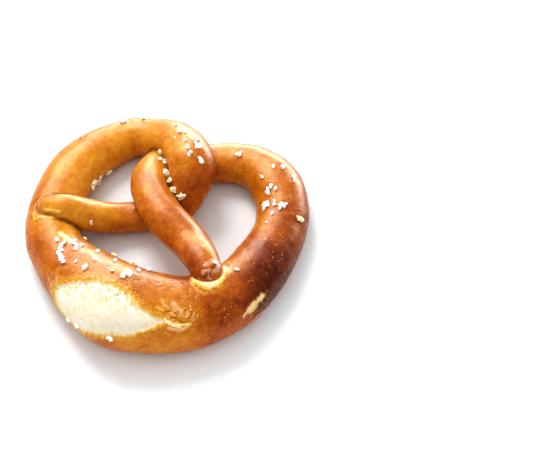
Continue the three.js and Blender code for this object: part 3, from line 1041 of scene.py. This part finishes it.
# Salt: (distance along the rope, angle round it) of a grain, with half spread along it in mm, half
# spread round it in degrees and number of grains for a patch. The toasted ones are last.
salt = {
    "patches": [
        (113, 111), (115, 88, 2.4, 7, 2), (105, 94, 4, 3, 3), (102, 71, 3.5, 8, 4), (107, 63),
        (517, 145, 2.6, 8, 3), (157, 59), (147, 55), (180, 45), (250, 90), (255.5, 89, 1.8, 9, 3),
        (261, 77, 3.4, 4, 3), (257, 117, 4, 8, 3), (263, 104), (262, 121), (270.5, 87), (278.5, 89),
        (276.5, 111), (271.5, 128), (284.5, 130), (290, 106), (298.5, 112, 2.4, 6, 3), (304, 130),
        (309.5, 141), (282.5, -2), (289.5, 8), (300.5, 18), (362, 99), (594.5, 124), (460, 95),
        (438.3, 87), (436.4, 68), (436, 122), (426, 116, 3.2, 10, 4), (429, 55, 2, 5, 2),
        (415, 130, 3.2, 8, 4), (414.5, 109, 2, 1.5, 2), (413, 90, 3, 7, 3), (408, 111), (400, 116),
        (265.5, 74), (256.4, 109), (254.5, 98), (261.5, 107), (411.3, 96), (424.5, 104), (122.7, 76),
    ],
    "toastedPatches": [
        (28, 30), (509, 104, 1.8, 14, 4), (92.5, 182, 1, 10, 3), (88.5, 146, 1.2, 12, 3),
        (85, 115, 1.2, 10, 3), (82.8, 84, 1, 10, 3), (121, 177), (251.5, 154), (277, 155), (290, 150),
        (408, 50), (198, 176, 3, 4, 3), (188, 185, 4, 4, 4), (178, 192, 4, 4, 3),
    ],
    "radius": 1.5, "unevenRadius": 0.45, "flatness": 0.75, "sink": 0.5,
    "corners": 15, "squareness": 0.45,
    "cornerReach": (0.82, 1.12), "longer": (0.85, 1.2), "wider": (0.8, 1.05), "higher": (0.9, 1.2),
    "twinned": 0.22,        # share of the white grains that are two grown together
    "twinSize": 0.75, "twinOff": 0.9,
    "white": [(0.93, 0.92, 0.89), (0.98, 0.97, 0.95)],
    "toasted": (0.94, 0.82, 0.58),
    "grainSize": 0.9, "bump": (0.6, 0.12),
    "shader": {
        "Roughness": 0.45, "Subsurface Weight": 0.5, "Subsurface Radius": (1, 0.9, 0.8),
        "Subsurface Scale": 0.9 * mm,
    },
}
goldenAngle = math.pi * (3 - math.sqrt(5))


# The places and radii of the grains, spread in each patch like the seeds of a sunflower, and
# whether they are toasted
def grainPlaces():
    rows = []
    for patch in salt["patches"] + salt["toastedPatches"]:
        along, around, alongSpread, aroundSpread, count = patch if len(patch) > 2 else (*patch, 0, 0, 1)
        first = len(rows)
        for i in range(count):
            reach = math.sqrt((i + 0.5) / count)
            heading = i * goldenAngle + first + i
            radius = salt["radius"] + salt["unevenRadius"] * (scatter(len(rows)) * 2 - 1)
            distance = along + alongSpread * reach * math.cos(heading)
            angle = around + aroundSpread * reach * math.sin(heading)
            rows.append((distance, angle, radius, patch in salt["toastedPatches"]))
    return rows


# A lump with flat sides: the hull of corners spread over a flattened ball
def addLump(cloud, radius, place, normal, seed):
    draw = np.random.default_rng(int(seed * 2))
    directions = unit(draw.normal(size=(salt["corners"], 3)))
    squared = directions / np.abs(directions).max(axis=1, keepdims=True) ** salt["squareness"]
    reach = radius * draw.uniform(*salt["cornerReach"], size=(salt["corners"], 1))
    longer, wider, higher = (draw.uniform(*salt[name]) for name in ("longer", "wider", "higher"))
    corners = squared * reach * (longer, wider, salt["flatness"] * higher)
    turn = Matrix.Rotation(draw.uniform(0, 2 * math.pi), 3, "Z")
    lean = Vector(normal).to_track_quat("Z", "Y").to_matrix()
    made = [cloud.verts.new(Vector(place) + lean @ turn @ Vector(corner)) for corner in corners * mm]
    hull = bmesh.ops.convex_hull(cloud, input=made)
    spare = [item for item in hull["geom_interior"] if isinstance(item, bmesh.types.BMVert)]
    bmesh.ops.delete(cloud, geom=spare, context="VERTS")


# Parts of a whole added to a grain's number give its twin numbers of its own
def makeSalt():
    cloud = bmesh.new()
    toasted = cloud.faces.layers.float.new("toasted")
    for number, (along, around, radius, isToasted) in enumerate(grainPlaces()):
        _, place, normal, _ = pretzel.closest_point_on_mesh(Vector(ropePoint(along, around) * mm))
        place += normal * radius * (salt["flatness"] - salt["sink"]) * mm
        first = len(cloud.faces)
        addLump(cloud, radius, place, normal, number)
        if isToasted or scatter(number + 0.25) < salt["twinned"]:
            aside = normal.orthogonal().normalized() * radius * salt["twinOff"] * mm
            aside.rotate(Matrix.Rotation(scatter(number + 0.75) * 2 * math.pi, 3, normal))
            addLump(cloud, radius * salt["twinSize"], place + aside, normal, number + 0.5)
        cloud.faces.ensure_lookup_table()
        for face in cloud.faces[first:]:
            face[toasted] = float(isToasted)
    mesh = bpy.data.meshes.new("saltGrains")
    cloud.to_mesh(mesh)
    cloud.free()
    made = bpy.data.objects.new("saltGrains", mesh)
    bpy.context.collection.objects.link(made)
    return made


def makeSaltLook():
    made, tree, shader = newMaterial("coarseSalt")
    grain = grainOf(tree, objectPlace(tree), salt["grainSize"])
    colour = mixColour(tree, grain["Specks"], *((*tone, 1) for tone in salt["white"]))
    colour = mixColour(tree, attribute(tree, "toasted"), colour, (*salt["toasted"], 1))
    feed(tree, shader, {"Base Color": colour, **salt["shader"]})
    addBump(tree, shader, grain["Height"], *salt["bump"])
    return made


saltGrains = makeSalt()
saltGrains.data.materials.append(makeSaltLook())
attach(saltGrains, "root")
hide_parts("pretzel")
print("salt strewn, faces:", len(saltGrains.data.polygons))

# The floor and the light, in metres
studio = {
    "floorSize": 6,
    "floorDrop": 0.0002,
    "floorTint": (0.905, 0.95, 0.97),
    "floorRoughness": 0.8,
    "skyStrength": 0.72,
    # place, size, height and power of the soft lights
    "lamps": {
        "window": ((-0.6, 0.65, 1), 0.6, 0.6, 8.5),
        "windowGleam": ((-0.75, 0.7, 0.6), 0.8, 0.5, 6),
        "backGleam": ((0.1, 1.6, 0.2), 2.4, 0.4, 52),
    },
    "glossOnly": ("windowGleam", "backGleam"),
    "aim": (0, 0, 0.01),
}


def makeStudio():
    bpy.ops.mesh.primitive_plane_add(size=studio["floorSize"], location=(0, 0, -studio["floorDrop"]))
    floor = bpy.context.object
    floor.name = "paleFloor"
    paint, tree, shader = newMaterial("paleFloorPaint")
    feed(tree, shader, {"Base Color": (*studio["floorTint"], 1), "Roughness": studio["floorRoughness"]})
    floor.data.materials.append(paint)
    world = bpy.data.worlds.new("studioSky")
    bpy.context.scene.world = world
    world.use_nodes = True
    sky = world.node_tree.nodes["Background"]
    feed(world.node_tree, sky, {"Color": (1, 1, 1, 1), "Strength": studio["skyStrength"]})
    world.cycles_visibility.glossy = False
    for name, (place, size, height, watts) in studio["lamps"].items():
        bpy.ops.object.light_add(type="AREA", location=place)
        lamp = bpy.context.object
        lamp.name = name
        lamp.data.shape = "RECTANGLE"
        lamp.data.size, lamp.data.size_y = size, height
        lamp.data.energy = watts
        lamp.visible_diffuse = name not in studio["glossOnly"]
        lamp.rotation_euler = (Vector(studio["aim"]) - lamp.location).to_track_quat("-Z", "Y").to_euler()


makeStudio()
bpy.context.scene.view_settings.view_transform = "Standard"
bpy.context.scene.view_settings.look = "High Contrast"
